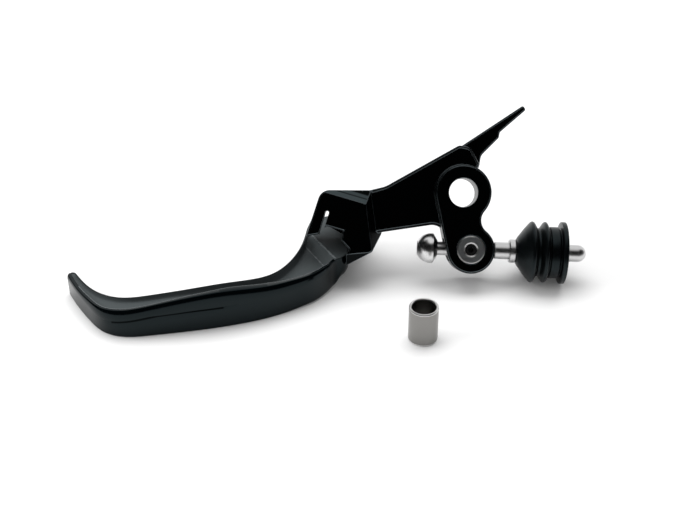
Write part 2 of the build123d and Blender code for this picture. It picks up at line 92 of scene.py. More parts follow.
# %% From a grid of points to a mesh
def grid_faces(rows, columns, wrap_rows, wrap_columns):
    """Corners of each cell (i, j), (i, j+1), (i+1, j+1), (i+1, j), counted row by row."""
    i = np.arange(rows if wrap_rows else rows - 1)[:, None]
    j = np.arange(columns if wrap_columns else columns - 1)[None, :]
    next_i = (i + 1) % rows
    next_j = (j + 1) % columns
    row, next_row = i * columns, next_i * columns
    corners = [row + j, row + next_j, next_row + next_j, next_row + j]
    return np.stack([c + 0 * (i + j) for c in corners], axis=-1).reshape(-1, 4)


def surface(name, grid, wrap_rows=False, wrap_columns=False, paint=None):
    """Object from a grid of points in millimetres, doubles merged and faces turned outwards."""
    rows, columns = grid.shape[:2]
    faces = grid_faces(rows, columns, wrap_rows, wrap_columns)
    mesh = bpy.data.meshes.new(name)
    mesh.from_pydata((grid.reshape(-1, 3) * MM).tolist(), [], faces.tolist())
    if paint is not None:
        mesh.polygons.foreach_set("material_index", paint.reshape(-1).astype(np.int32))
    shape = bmesh.new()
    shape.from_mesh(mesh)
    bmesh.ops.remove_doubles(shape, verts=shape.verts, dist=1e-6)
    bmesh.ops.recalc_face_normals(shape, faces=shape.faces)
    shape.to_mesh(mesh)
    shape.free()
    mesh.polygons.foreach_set("use_smooth", np.ones(len(mesh.polygons), bool))
    mesh.update()
    piece = bpy.data.objects.new(name, mesh)
    bpy.context.scene.collection.objects.link(piece)
    print(name, len(mesh.polygons), "faces")
    return piece


# %% [markdown]
# The edges of the blade are free curves. A curve object could be drawn through the points by hand,
# but a cubic spline worked out with numpy goes exactly through every measured point, bends as a
# thin strip of steel would, and gives evenly spaced stations, which keep the faces nearly square.

# %% Smooth lines through measured points
def spline_through(points, count):
    """Natural cubic spline: second slopes m solve h0*m0 + 2(h0+h1)*m1 + h1*m2 = 6(d1 - d0)."""
    points = np.array(points, float)
    steps = np.linalg.norm(np.diff(points, axis=0), axis=1)
    knots = np.concatenate([[0.0], np.cumsum(steps)])
    size = len(points)
    matrix = np.eye(size)
    inner = np.arange(1, size - 1)
    matrix[inner, inner - 1] = steps[:-1]
    matrix[inner, inner] = 2 * (steps[:-1] + steps[1:])
    matrix[inner, inner + 1] = steps[1:]
    slopes = np.diff(points, axis=0) / steps[:, None]
    right = np.zeros_like(points)
    right[1:-1] = 6 * np.diff(slopes, axis=0)
    bend = np.linalg.solve(matrix, right)
    t = np.linspace(0, knots[-1], 40 * size)
    k = np.clip(np.searchsorted(knots, t, side="right") - 1, 0, size - 2)
    h = steps[k][:, None]
    a = (knots[k + 1] - t)[:, None] / h
    b = (t - knots[k])[:, None] / h
    curved = ((a**3 - a) * bend[k] + (b**3 - b) * bend[k + 1]) * h**2 / 6
    fine = a * points[k] + b * points[k + 1] + curved
    return even(fine, count)


def even(line, count):
    """The same line at evenly spaced lengths: each coordinate interpolated over the arc length."""
    length = np.concatenate([[0.0], np.cumsum(np.linalg.norm(np.diff(line, axis=0), axis=1))])
    at = np.linspace(0, length[-1], count)
    return np.stack([np.interp(at, length, line[:, axis]) for axis in range(line.shape[1])], axis=1)


def soften(profile, radius, steps=5):
    """Corner P becomes the arc (1-t)^2 A + 2t(1-t) P + t^2 C, with A and C a radius away from P."""
    profile = np.array(profile, float)
    corner = profile[1:-1]
    back = profile[:-2] - corner
    ahead = profile[2:] - corner
    back_length = np.linalg.norm(back, axis=1, keepdims=True)
    ahead_length = np.linalg.norm(ahead, axis=1, keepdims=True)
    start = corner + back / back_length * np.minimum(radius, 0.45 * back_length)
    end = corner + ahead / ahead_length * np.minimum(radius, 0.45 * ahead_length)
    t = np.linspace(0, 1, steps)[None, :, None]
    arcs = (1 - t) ** 2 * start[:, None] + 2 * t * (1 - t) * corner[:, None] + t**2 * end[:, None]
    return np.concatenate([profile[:1], arcs.reshape(-1, 2), profile[-1:]])


# %% [markdown]
# The finishes come next. Anodised aluminium is dark and mirror-like only where it is polished; the
# blasted floor of the channel scatters light. Separate bitmaps could hold such a skin, but they
# need an unwrapped mesh. So each finish is one shader with its own colour and roughness, and a fine
# noise in the object's own coordinates drives the roughness and a very small bump.

# %% A finish from a shader and a fine grain
def finish(name, colour, metallic, roughness, grain=2500.0, unevenness=0.05, bump=0.02,
           specular=0.5, depth=0.00005, tint=(1.0, 1.0, 1.0)):
    """Roughness = base + unevenness * (2 * noise - 1); bump height = depth * noise."""
    material = bpy.data.materials.new(name)
    material.use_nodes = True
    tree = material.node_tree
    shader = tree.nodes["Principled BSDF"]
    shader.inputs["Base Color"].default_value = (*colour, 1.0)
    shader.inputs["Metallic"].default_value = metallic
    shader.inputs["Specular IOR Level"].default_value = specular
    shader.inputs["Specular Tint"].default_value = (*tint, 1.0)
    place = tree.nodes.new("ShaderNodeTexCoord")
    noise = tree.nodes.new("ShaderNodeTexNoise")
    noise.inputs["Scale"].default_value = grain
    noise.inputs["Detail"].default_value = 3.0
    tree.links.new(place.outputs["Object"], noise.inputs["Vector"])
    spread = tree.nodes.new("ShaderNodeMapRange")
    spread.inputs["To Min"].default_value = roughness - unevenness
    spread.inputs["To Max"].default_value = roughness + unevenness
    tree.links.new(noise.outputs["Fac"], spread.inputs["Value"])
    tree.links.new(spread.outputs["Result"], shader.inputs["Roughness"])
    relief = tree.nodes.new("ShaderNodeBump")
    relief.inputs["Strength"].default_value = bump
    relief.inputs["Distance"].default_value = depth
    tree.links.new(noise.outputs["Fac"], relief.inputs["Height"])
    tree.links.new(relief.outputs["Normal"], shader.inputs["Normal"])
    return material


def turned_finish(name, colour, roughness, axis, rings=9000.0, bump=0.08):
    """Lathe marks: noise read at (point . axis, 0, 0), so it only changes along the axis."""
    material = finish(name, colour, 1.0, roughness, bump=bump, depth=0.00002)
    tree = material.node_tree
    noise = next(node for node in tree.nodes if node.type == "TEX_NOISE")
    place = next(node for node in tree.nodes if node.type == "TEX_COORD")
    along = tree.nodes.new("ShaderNodeVectorMath")
    along.operation = "DOT_PRODUCT"
    along.inputs[1].default_value = axis
    tree.links.new(place.outputs["Object"], along.inputs[0])
    stretch = tree.nodes.new("ShaderNodeCombineXYZ")
    tree.links.new(along.outputs["Value"], stretch.inputs["X"])
    tree.links.new(stretch.outputs["Vector"], noise.inputs["Vector"])
    noise.inputs["Scale"].default_value = rings
    return material


# %% [markdown]
# The real lever has few finishes: black satin on the plate, a glossier blue-black on the blade,
# grey where the blade was blasted, rubber, and steels that differ in polish. The reflection of
# anodised aluminium is slightly blue, so the dark finishes share one cool tint for their shine.
# Edges, chamfers and end faces get lighter, shinier copies of these finishes: a painted highlight
# for the light they catch.

# %% The finishes of this lever
rod_dip = radians(2.2)
rod_axis = cos(rod_dip) * plate_along - sin(rod_dip) * plate_up
cool = (0.72, 0.94, 1.0)
black_satin = finish(
    "black_satin_anodised", (0.0003, 0.0004, 0.0004), 0.0, 0.26, specular=0.05, tint=cool)
# Brighter satin for the soft edges: a painted highlight.
edge_highlight_satin = finish("painted_highlight_satin_edge", (0.08, 0.094, 0.10), 1.0, 0.35)
blade_gloss = finish(
    "blue_black_anodised", (0.0005, 0.0011, 0.0015), 0.0, 0.14, specular=0.2, tint=cool)
blade_blasted = finish(
    "blasted_channel", (0.045, 0.052, 0.054), 0.0, 0.6, grain=4200.0, bump=0.25, specular=0.2)
# Lighter grey for thin lines in the blade's channel: a painted highlight.
channel_edge_highlight = finish("painted_highlight_channel_edge", (0.10, 0.112, 0.117), 0.0, 0.5, specular=0.4)
rubber = finish(
    "moulded_rubber", (0.0010, 0.0013, 0.0015), 0.0, 0.33, grain=1800.0, bump=0.10, specular=0.24,
    tint=cool)
polished = turned_finish(
    "polished_steel", (0.60, 0.60, 0.60), 0.33, tuple(rod_axis), bump=0.03)
knob_polish = turned_finish(
    "knob_polish", (0.70, 0.70, 0.70), 0.28, tuple(rod_axis), bump=0.02)
# Brighter steel for chamfers, end faces and soft edges: a painted highlight.
steel_highlight = finish("painted_highlight_steel", (0.75, 0.75, 0.74), 1.0, 0.35)
plain_steel = turned_finish("turned_steel", (0.60, 0.625, 0.635), 0.42, tuple(plate_out))
bush_steel = turned_finish("bush_steel", (0.24, 0.235, 0.225), 0.34, (0.0, 0.0, 1.0))
black_steel = finish("black_oxide_steel", (0.006, 0.006, 0.006), 0.0, 0.35, specular=0.5)
bronze = finish("sintered_bronze", (0.45, 0.30, 0.14), 1.0, 0.42, bump=0.2)
nylon = finish("nylon", (0.82, 0.80, 0.74), 0.0, 0.45)
print(len(bpy.data.materials), "finishes")

# %% [markdown]
# The blade is a bent bar, on the real lever probably forged and then milled. It could be cut from a
# block with booleans, but its reflections would break at every cut. Here its plan is two smooth
# lines: the near one faces the grip, and the fingers lie along the far one. Across it runs one
# profile: round top edge, rim, channel, thin far rim, and walls down to the floor. Carrying that
# profile along the two lines gives the whole skin in one sheet, which keeps the reflections
# unbroken.

# %% The blade's two sides
near_points = (
    (-139.1, -20.2), (-134.2, -28.8), (-128.7, -36.8), (-122.3, -43.6), (-116.5, -45.7),
    (-107.1, -45.1), (-90.5, -42.1), (-77.1, -38.7), (-63.7, -33.4), (-58.3, -30.4), (-52.6, -26.9),
    (-48.8, -23.2), (-46.2, -19.4), (-44.2, -16.5), (-42.2, -15.3), (-40.6, -13.4), (-40.0, -11.0),
    (-40.4, -8.8), (-41.6, -7.1),
)
far_points = (
    (-136.2, -18.5), (-125.5, -31.9), (-117.0, -36.5), (-107.1, -37.1), (-91.0, -35.7),
    (-77.0, -31.9), (-67.0, -26.4), (-60.6, -17.6), (-57.0, -7.6), (-55.3, 3.0),
)
fold_x, fold_y, fold_boss = -38.5, 6.5, 6.0
boss_turn = np.radians(np.linspace(0, 90, 24))
boss_ring = np.stack([np.cos(boss_turn), np.sin(boss_turn)], axis=1)
boss_arc = np.array([fold_x, fold_y]) + fold_boss * boss_ring
root_near = np.concatenate([[(-41.6, -7.1), (-41.0, -4.5), (-39.0, -0.5)], boss_arc])
root_far = np.array([(-55.3, 3.0), (-53.8, 9.4), (-47.6, 11.5), (fold_x, fold_y + fold_boss)])
bar_stations, root_stations = 400, 60
near = np.concatenate(
    [spline_through(near_points, bar_stations), even(root_near, root_stations)[1:]])
far = np.concatenate(
    [spline_through(far_points, bar_stations), even(root_far, root_stations)[1:]])
print("blade plan from x", near[:, 0].min().round(1), "to", near[:, 0].max().round(1))

# %% [markdown]
# The bar is low at its hooked tip, swells in the middle and is level at the root, and its rims
# widen and narrow. Each of these is a value that changes along the lever. A few values at measured
# places, joined by smooth steps, describe them all and can be read like a drawing's table.

# %% The blade's heights and widths along its length
def blend(x, points):
    """Smooth step between listed values: v0 + (v1 - v0) * t^2 (3 - 2t) between neighbours."""
    places = np.array([p[0] for p in points], float)
    values = np.array([p[1] for p in points], float)
    k = np.clip(np.searchsorted(places, x, side="right") - 1, 0, len(places) - 2)
    t = np.clip((x - places[k]) / (places[k + 1] - places[k]), 0, 1)
    return values[k] + (values[k + 1] - values[k]) * t * t * (3 - 2 * t)


root_height = 12.0
top_line = spline_through(
    [(-146.0, 8.4), (-139.0, 8.26), (-131.0, 8.4), (-127.0, 8.8), (-122.0, 9.5), (-112.0, 10.9),
     (-102.0, 12.4), (-92.0, 13.7), (-82.0, 14.15), (-72.0, 13.2), (-62.0, 12.15),
     (-58.0, root_height), (-30.0, root_height)], 600)


def top_height(x):
    """Height of the blade's top line above the floor at a place along the lever."""
    return np.interp(x, top_line[:, 0], top_line[:, 1])


across = far - near
width = np.linalg.norm(across, axis=1)
across = across / np.maximum(width, 1e-9)[:, None]
station_x = near[:, 0]
height = top_height(station_x)
near_rim = blend(
    station_x,
    [(-136.0, 1.6), (-128.0, 2.0), (-116.0, 2.5), (-106.0, 2.3), (-90.0, 2.7), (-77.0, 3.5),
     (-66.0, 3.4), (-58.0, 2.5), (-52.6, 2.4), (-48.6, 1.8), (-45.0, 1.0), (-43.0, 0.6)])
far_rim = 0.8
near_round = blend(
    station_x, [(-134.0, 0.6), (-120.0, 1.5), (-62.0, 1.6), (-50.0, 1.2), (-44.5, 0.45)])
near_drop = near_round * 2.4
depth = blend(
    station_x,
    [(-138.8, 0.0), (-136.6, 0.8), (-128.0, 1.3), (-105.0, 1.7), (-77.0, 2.2), (-60.0, 3.2)])
print("blade height from", height.min().round(2), "to", height.max().round(2), "mm")

# %% [markdown]
# Two hollows give the blade its look. The channel ends in a ramp that climbs to the flat root, and
# the near wall has a long scoop like a lens: a crisp ledge above it, fading to nothing below. Both
# could be separate cutters. As functions of the place on the skin they need no boolean: the ramp is
# a plane that wins where it stands higher than the channel's floor, the scoop a depth in the wall.

# %% Ramp and scoop
ridge_near, ridge_far = np.array([-45.0, -15.1]), np.array([-51.3, -4.2])
ramp_angle = 42.0


def past_ridge(points):
    """Distance beyond the ridge: (point - ridge start) . (normal of the line, towards the tip)."""
    way = (ridge_far - ridge_near) / np.linalg.norm(ridge_far - ridge_near)
    return (points - ridge_near) @ np.array([-way[1], way[0]])


def ramp_height(points):
    """Root height - distance beyond the ridge * tan(angle), and the root height behind it."""
    return root_height - np.maximum(past_ridge(points), 0) * tan(radians(ramp_angle))


def soft_max(a, b, softness=0.12):
    """Smooth larger of two heights: (a + b + sqrt((a - b)^2 + s^2)) / 2."""
    return (a + b + np.sqrt((a - b) ** 2 + softness**2)) / 2


scoop_depth = 0.7
scoop_crease = blend(
    station_x, [(-122.0, 6.4), (-116.0, 7.4), (-106.0, 8.1), (-90.0, 8.6), (-77.0, 8.6)])
scoop_low = blend(station_x, [(-101.0, -0.5), (-90.0, 2.7), (-78.0, 6.4), (-74.0, 8.0)])
scoop_strength = blend(station_x, [(-123.0, 0.0), (-116.0, 1.0), (-90.0, 1.0), (-74.0, 0.0)])


def scoop(z):
    """Scoop: depth * strength * t^4, t falling from 1 under the crease to 0 at the lower edge."""
    crease, low = scoop_crease[:, None], scoop_low[:, None]
    fade = np.clip((z - low) / np.maximum(crease - low, 0.5), 0, 1)
    return scoop_depth * scoop_strength[:, None] * fade**4 * (z < crease)


# %% [markdown]
# Now the profile itself, as distances q from the near line and heights z, one row per station. It
# starts under the near corner and goes up the wall, over the tall round edge, down into the
# channel, up its hollow far wall, over the thin rim and back along the foot. The near edge is half
# an ellipse instead of a circle, because that gives the broad dark band that runs along the real
# blade.

# %% The blade's profile at every station
def arc(centre_q, centre_z, radius, start, end, steps, tall=None):
    """Points centre + (radius * cos, tall * sin) between two angles, one row per station."""
    turn = np.radians(np.linspace(start, end, steps))[None, :]
    tall = radius if tall is None else tall
    q = centre_q[:, None] + radius[:, None] * np.cos(turn)
    return q, centre_z[:, None] + tall[:, None] * np.sin(turn)


def levels(low, high, steps):
    """Evenly spaced rows between two lines of heights: low + t * (high - low)."""
    t = np.linspace(0, 1, steps)[None, :]
    return low[:, None] + t * (high - low)[:, None]


foot = blend(station_x, [(-62.0, 0.5), (-52.0, 1.5), (-45.0, 2.2), (-41.5, 7.0)])
foot[bar_stations:] = blend(near[bar_stations:, 1], [(-7.0, 7.0), (0.0, 0.5)])
far_foot = np.minimum(foot, 0.5)
near_round = np.minimum(near_round, 0.35 * width)
near_drop = np.minimum(near_drop, 0.45 * height)
far_round = np.minimum(0.6, 0.2 * width)
near_edge = np.minimum(near_rim, width - far_rim - 1.0)
near_edge = np.maximum(near_edge, near_round + 0.12)
far_edge = np.maximum(width - far_rim, near_edge + 0.3)

corner_q, corner_z = arc(foot, foot, foot, 270, 180, 9)
crease_low, wall_top = scoop_crease - 0.06, height - near_drop
low_z = levels(foot, np.minimum(crease_low, wall_top - 0.4), 22)[:, 1:]
high_z = levels(np.minimum(scoop_crease + 0.06, wall_top - 0.2), wall_top, 6)[:, :-1]
wall_z = np.concatenate([low_z, high_z], axis=1)
wall_q = scoop(wall_z)
top_q, top_z = arc(near_round, wall_top, near_round, 180, 96, 14, near_drop)
hollow = np.minimum(0.55, 0.3 * (far_edge - near_edge))[:, None]
floor_t = np.linspace(0, 1, 26)[None, :]
floor_start, floor_end = near_edge[:, None] + 0.45, far_edge[:, None] - hollow
floor_q = floor_start + floor_t * np.maximum(floor_end - floor_start, 0.02)
lip_q = near_edge[:, None] + np.array([[-0.25, -0.06, 0.0, 0.12, 0.22]])
bend_t = np.radians(np.linspace(12, 84, 8))[None, :]
bend_q = floor_end + hollow * np.sin(bend_t)
rim_q = far_edge[:, None] + np.array([[0.03, 0.12]])
channel_q = np.concatenate([lip_q, floor_q, bend_q, rim_q], axis=1)
lip_drop, rim_drop = [0.04, 0.07, 0.16, 0.86, 0.96], [0.05, 0.0]
bend_drop = 0.10 + 0.90 * np.cos(bend_t[0])
channel_drop = np.concatenate([lip_drop, np.ones(floor_t.size), bend_drop, rim_drop])[None, :]
channel_points = near[:, None, :] + channel_q[..., None] * across[:, None, :]
plain_floor = height - depth
ramp = ramp_height(channel_points)
channel_floor = np.minimum(soft_max(plain_floor[:, None], ramp), height[:, None])
channel_z = height[:, None] - channel_drop * (height[:, None] - channel_floor)
far_q, far_z = arc(width - far_round, height - far_round, far_round, 90, 0, 5)
down_z = levels(height - far_round, far_foot, 6)[:, 1:-1]
down_q = width[:, None] + 0 * down_z
last_q, last_z = arc(width - far_foot, far_foot, far_foot, 0, -90, 5)
base_q = levels(width - far_foot, foot, 4)[:, 1:-1]
base_z = 0 * base_q
profile_q = np.concatenate(
    [corner_q, wall_q, top_q, channel_q, far_q, down_q, last_q, base_q], axis=1)
profile_z = np.concatenate(
    [corner_z, wall_z, top_z, channel_z, far_z, down_z, last_z, base_z], axis=1)
print("blade profile has", profile_q.shape[1], "points at", profile_q.shape[0], "stations")

# %% [markdown]
# Seen from above the tip ends in a half circle. A sphere could close it, but the channel has to run
# out into it. So the last profiles are drawn together towards their middle line, each one a little
# further out, as the sections of a half cylinder are, and one line of points closes the end.

# %% The round tip, and the whole skin
tip_radius = width[0] / 2
tip_turn = np.radians(np.linspace(4, 82, 9))
from_end = np.linalg.norm((near + far) / 2 - (near + far)[0] / 2, axis=1)
first = int(np.argmax(from_end > tip_radius))
tip_way = ((near + far)[0] - (near + far)[first]) / 2
tip_way = tip_way / np.linalg.norm(tip_way)
skin_q = profile_q[first:]
skin_z = profile_z[first:]
base_points = near[first:, None, :] + skin_q[..., None] * across[first:, None, :]
tip_half = width[first] / 2
tip_middle = near[first] + across[first] * tip_half
tip_q = tip_half + (skin_q[0][None, :] - tip_half) * np.sin(tip_turn)[:, None]
tip_reach = (tip_half * np.cos(tip_turn))[:, None, None] * tip_way
tip_points = near[first] + tip_q[..., None] * across[first] + tip_reach
tip_mid_z = height[first] / 2
shrink = 1 - 0.10 * (1 - np.sin(tip_turn))[:, None]
tip_z = tip_mid_z + (skin_z[0][None, :] - tip_mid_z) * shrink
plan = np.concatenate([tip_points, base_points])
rise = np.concatenate([tip_z, skin_z])
station_height = np.concatenate([np.full(len(tip_turn), height[first]), height[first:]])
rise = rise * (top_height(plan[..., 0]) / station_height[:, None])
blade_grid = np.concatenate([plan, (floor_z + rise)[..., None]], axis=-1)
tip_centre = np.array([*(tip_middle + tip_way * tip_half), 0.0])
tip_cap = np.broadcast_to(tip_centre, blade_grid[:1].shape).copy()
tip_cap[0, :, 2] = floor_z + rise[0]
blade_grid = np.concatenate([tip_cap, blade_grid])
print("tip profiles", len(tip_turn), "and first full station", first)

# %% [markdown]
# On the real blade the channel looks blasted, dull grey between glossy rims. A mask painted by hand
# could part the two, but the skin is a grid, so its rows and columns already say where each face
# lies. Faces in the channel get the blasted finish. Thin lines along the ridge, the foot of the
# ramp and the channel's edge get a lighter grey finish, a painted highlight, and a line under the
# ledge of the scoop gets the black satin finish, a painted shade.

# %% Which finish each face of the blade has
GLOSS, BLASTED, HIGHLIGHT, PAINTED_SHADE = 0, 1, 2, 3
rows, columns = blade_grid.shape[:2]
tip_rows = len(tip_turn)
before_channel = corner_q.shape[1] + wall_q.shape[1] + top_q.shape[1]
channel_end = before_channel + channel_q.shape[1]
paint = np.full((rows - 1, columns), GLOSS)

channel_begins = 0.15
deep = np.concatenate([np.zeros(tip_rows), depth[first:]]) > channel_begins
paint[:, before_channel + 2:channel_end - 2] = np.where(deep, BLASTED, GLOSS)[:, None]

flush_margin, lobe_start = 6, -44.6
flush = slice(before_channel - flush_margin, channel_end)
lobe = np.concatenate([np.zeros(tip_rows), station_x[first:] > lobe_start]).astype(bool)
paint[rows - root_stations:, flush] = BLASTED
paint[lobe, flush] = BLASTED

# Painted highlight: bands at the ridge, the ramp's foot and the near lip get the lighter grey
# finish.
ridge_line, foot_line, lip_points, lip_end = 0.22, 0.16, 4, -46.5
past = past_ridge(channel_points)
ramp_foot = (np.abs(ramp - plain_floor[:, None]) < foot_line) & (past > 0.5)
highlight_lines = (np.abs(past) < ridge_line) | ramp_foot
highlight_lines[:, :lip_points] |= ((depth > 0.9) & (station_x < lip_end))[:, None]
channel_paint = paint[tip_rows:, before_channel:channel_end]
channel_paint[highlight_lines[first:]] = HIGHLIGHT

# Painted shade: the wall's rows just under the scoop's ledge get the black satin finish, a dark
# line.
shade_points = 3
ledge = corner_q.shape[1] + low_z.shape[1]
ledge_shade_rows = scoop_strength[first:] > 0.5
paint[tip_rows:, ledge - shade_points:ledge] = np.where(ledge_shade_rows, PAINTED_SHADE, GLOSS)[:, None]

blade = surface("blade_bar", blade_grid, wrap_columns=True, paint=paint)
for material in (blade_gloss, blade_blasted, channel_edge_highlight, black_satin):
    blade.data.materials.append(material)
blade.data.set_sharp_from_angle(angle=radians(24))
print("faces with each finish", np.bincount(paint.reshape(-1)).tolist())

# %% [markdown]
# The blade folds round a bolt that stands in its root. The bolt's head, shank and spring need room,
# or they would cut through the blade in the fold poses. Each room is a plain upright drum, so a
# boolean is the simplest way: it is worked out at once and leaves one closed mesh.

# %% The bores of the fold joint
def drum(name, x, y, radius, low, high, edge=0.05, segments=64):
    """Upright turned body: (x + r cos(a), y + r sin(a), z), its top and bottom rims softened."""
    profile = soften([(0, low), (radius, low), (radius, high), (0, high)], edge)
    turn = np.linspace(0, 2 * pi, segments, endpoint=False)
    grid = np.stack([x + profile[:, :1] * np.cos(turn), y + profile[:, :1] * np.sin(turn),
                     np.broadcast_to(profile[:, 1:], (len(profile), segments))], axis=-1)
    drum_paint = np.full((len(profile) - 1, segments), GLOSS)
    drum_paint[-4:] = BLASTED
    body = surface(name, grid, wrap_columns=True, paint=drum_paint)
    body.data.materials.append(blade_gloss)
    body.data.materials.append(blade_blasted)
    return body


def cut_out(base, tool):
    """Base minus tool, both closed, worked out now, so that no modifier stays on the piece."""
    change = base.modifiers.new("shape", "BOOLEAN")
    change.operation = "DIFFERENCE"
    change.solver = "EXACT"
    change.object = tool
    worked_out = base.evaluated_get(bpy.context.evaluated_depsgraph_get())
    result = bpy.data.meshes.new_from_object(worked_out)
    base.modifiers.clear()
    base.data = result
    bpy.data.objects.remove(tool)


root_top = floor_z + root_height
fold_rooms = (
    ("head_room", 4.6, floor_z - 1.0, floor_z + 3.75),
    ("shank_room", 3.3, floor_z + 3.0, root_top + 1.0),
    ("spring_room", 4.8, root_top - 3.5, root_top + 1.0),
)
for room, radius, low, high in fold_rooms:
    cut_out(blade, drum(room, fold_x, fold_y, radius, low, high))
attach(blade, "blade")
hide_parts("lever_blade")
print("blade has", len(blade.data.polygons), "faces")

# %% [markdown]
# The carrier is a milled plate whose shape is already right in the solids. Modelling it again would
# only add errors, so its mesh is copied, its loose triangles are merged and flat ones are
# dissolved, and a narrow Bevel lets every machined edge catch light. A Weighted Normal after it
# keeps the large faces flat, because without it the smooth shading would bend over them.

# %% Soft-edged copies of solids
def soft_copy(node, name, edge, angle=28.0):
    """Copy of a solid's mesh with merged points, flat faces joined and a bevel of one width."""
    mesh = frame["nodes"][node].data.copy()
    mesh.name = name
    shape = bmesh.new()
    shape.from_mesh(mesh)
    bmesh.ops.remove_doubles(shape, verts=shape.verts, dist=2e-6)
    bmesh.ops.dissolve_limit(shape, angle_limit=radians(0.4), verts=shape.verts, edges=shape.edges)
    shape.to_mesh(mesh)
    shape.free()
    mesh.polygons.foreach_set("use_smooth", np.ones(len(mesh.polygons), bool))
    mesh.materials.clear()
    piece = bpy.data.objects.new(name, mesh)
    bpy.context.scene.collection.objects.link(piece)
    rounding = piece.modifiers.new("soft_edges", "BEVEL")
    rounding.width = edge * MM
    rounding.segments = 2
    rounding.limit_method = "ANGLE"
    rounding.angle_limit = radians(angle)
    rounding.use_clamp_overlap = False
    flat = piece.modifiers.new("flat_faces", "WEIGHTED_NORMAL")
    flat.weight = 100
    flat.keep_sharp = False
    return piece


def slopes_and_middles(mesh):
    """The unit normal and the middle of every face, as two arrays of rows (x, y, z)."""
    normals, centres = np.zeros(len(mesh.polygons) * 3), np.zeros(len(mesh.polygons) * 3)
    mesh.polygons.foreach_get("normal", normals)
    mesh.polygons.foreach_get("center", centres)
    return normals.reshape(-1, 3), centres.reshape(-1, 3)


carrier = soft_copy("lever_carrier", "carrier_plate", 0.24)
carrier.data.materials.append(black_satin)
carrier.data.materials.append(edge_highlight_satin)
# Painted highlight: the carrier's bevel faces get the brighter satin edge finish.
carrier.modifiers["soft_edges"].material = 1
print("carrier copy has", len(carrier.data.polygons), "faces")

# %% [markdown]
# On the hood's sloping shelf two narrow bright streaks run along the front edge, with a dark line
# between them, as a rounded edge shows when it catches light. They are painted highlight: the
# shelf's face has its own finish, whose shine depends on the distance from the shelf's front edge.

# %% Painted highlight on the hood's sloping shelf
shelf_start = on_plate(-48.3, 0.1, 6.5)
shelf_end = on_plate(-34.0, -4.1, 6.5)
shelf_back = on_plate(-34.0, 0.9, 3.0)
shelf_width = 6.0
shelf_out = np.cross(shelf_end - shelf_start, shelf_back - shelf_start)
shelf_out = shelf_out / np.linalg.norm(shelf_out)
shelf_along = (shelf_end - shelf_start) / np.linalg.norm(shelf_end - shelf_start)
shelf_way = np.cross(shelf_out, shelf_along)
slopes, middles = slopes_and_middles(carrier.data)
level = (middles / MM - shelf_start) @ shelf_out
on_shelf = (np.abs(slopes @ shelf_out) > 0.99) & (np.abs(level) < 0.3)
carrier.data.polygons.foreach_set("material_index", 2 * on_shelf.astype(np.int32))
print("shelf faces", int(on_shelf.sum()))


def painted_shelf_highlight():
    """Painted highlight from s = (point - front edge) . (way across): two bands, a dark line
    between.
    """
    material = finish("painted_highlight_on_hood", (0.0004, 0.0005, 0.0005), 0.0, 0.30, tint=cool)
    tree = material.node_tree
    shader = tree.nodes["Principled BSDF"]
    coordinates = next(node for node in tree.nodes if node.type == "TEX_COORD")
    across_shelf = tree.nodes.new("ShaderNodeVectorMath")
    across_shelf.operation = "DOT_PRODUCT"
    across_shelf.inputs[1].default_value = tuple(shelf_way)
    tree.links.new(coordinates.outputs["Object"], across_shelf.inputs[0])
    span = tree.nodes.new("ShaderNodeMapRange")
    start = float(shelf_start @ shelf_way) * MM
    span.inputs["From Min"].default_value = start
    span.inputs["From Max"].default_value = start + shelf_width * MM
    tree.links.new(across_shelf.outputs["Value"], span.inputs["Value"])
    highlight_bands = tree.nodes.new("ShaderNodeValToRGB")
    stops = highlight_bands.color_ramp.elements
    stops[0].position, stops[0].color = 0.0, (0.75, 0.75, 0.75, 1.0)
    stops[1].position, stops[1].color = 0.30, (0.75, 0.75, 0.75, 1.0)
    for position, shine in ((0.34, 0.15), (0.38, 0.15), (0.42, 0.65), (0.60, 0.65), (0.66, 0.02)):
        stops.new(position).color = (shine, shine, shine, 1.0)
    tree.links.new(span.outputs["Result"], highlight_bands.inputs["Fac"])
    tree.links.new(highlight_bands.outputs["Color"], shader.inputs["Specular IOR Level"])
    return material


# Painted highlight: the shelf faces take the banded finish.
carrier.data.materials.append(painted_shelf_highlight())
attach(carrier, "carrier")
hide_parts("lever_carrier")

# %% [markdown]
# The boot is moulded rubber: a cone, two folds, a plain band and a flange that seats on the
# cylinder. It could be lathed with a Screw modifier. Here a profile of places along the rod's
# slanting line and radii is spun round that line with one formula. Corners are softened first,
# because moulded rubber never ends in a sharp line. The profile goes on inside, so that the wall
# has its real thickness.

# %% The boot, spun round the rod's line
def spun(name, profile, middle, axis, side, segments=128):
    """middle + s * axis + r * (cos(a) * side + sin(a) * (axis x side)) for a turning all round."""
    third = np.cross(axis, side)
    turn = np.linspace(0, 2 * pi, segments, endpoint=False)
    ring = np.cos(turn)[:, None] * side + np.sin(turn)[:, None] * third
    grid = middle + profile[:, None, :1] * axis + profile[:, None, 1:] * ring[None, :, :]
    return surface(name, grid, wrap_rows=True, wrap_columns=True)


boot_outside = [
    (16.25, 4.1), (16.9, 5.2), (19.2, 8.3), (21.1, 10.5), (21.8, 10.9), (22.5, 10.5), (23.6, 8.5),
    (24.4, 8.5), (25.7, 10.5), (26.4, 10.9), (27.1, 10.3), (27.6, 8.4), (27.9, 8.3), (28.0, 9.1),
    (31.1, 9.1), (31.3, 8.3), (31.8, 8.3), (31.9, 10.95), (33.6, 10.95),
]
boot_inside = [(33.6, 7.2), (26.4, 8.8), (24.0, 7.0), (21.6, 8.4), (17.8, 3.04), (16.25, 3.04)]
boot_profile = soften(boot_outside + boot_inside, 0.35)
barrel_middle = on_plate(2.7, -20.0, 0.0)
rod_side = np.cross(plate_out, rod_axis)
boot = spun("boot_bellows", boot_profile, barrel_middle, rod_axis, rod_side)
boot.data.materials.append(rubber)
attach(boot, "boot")
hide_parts("dust_boot")

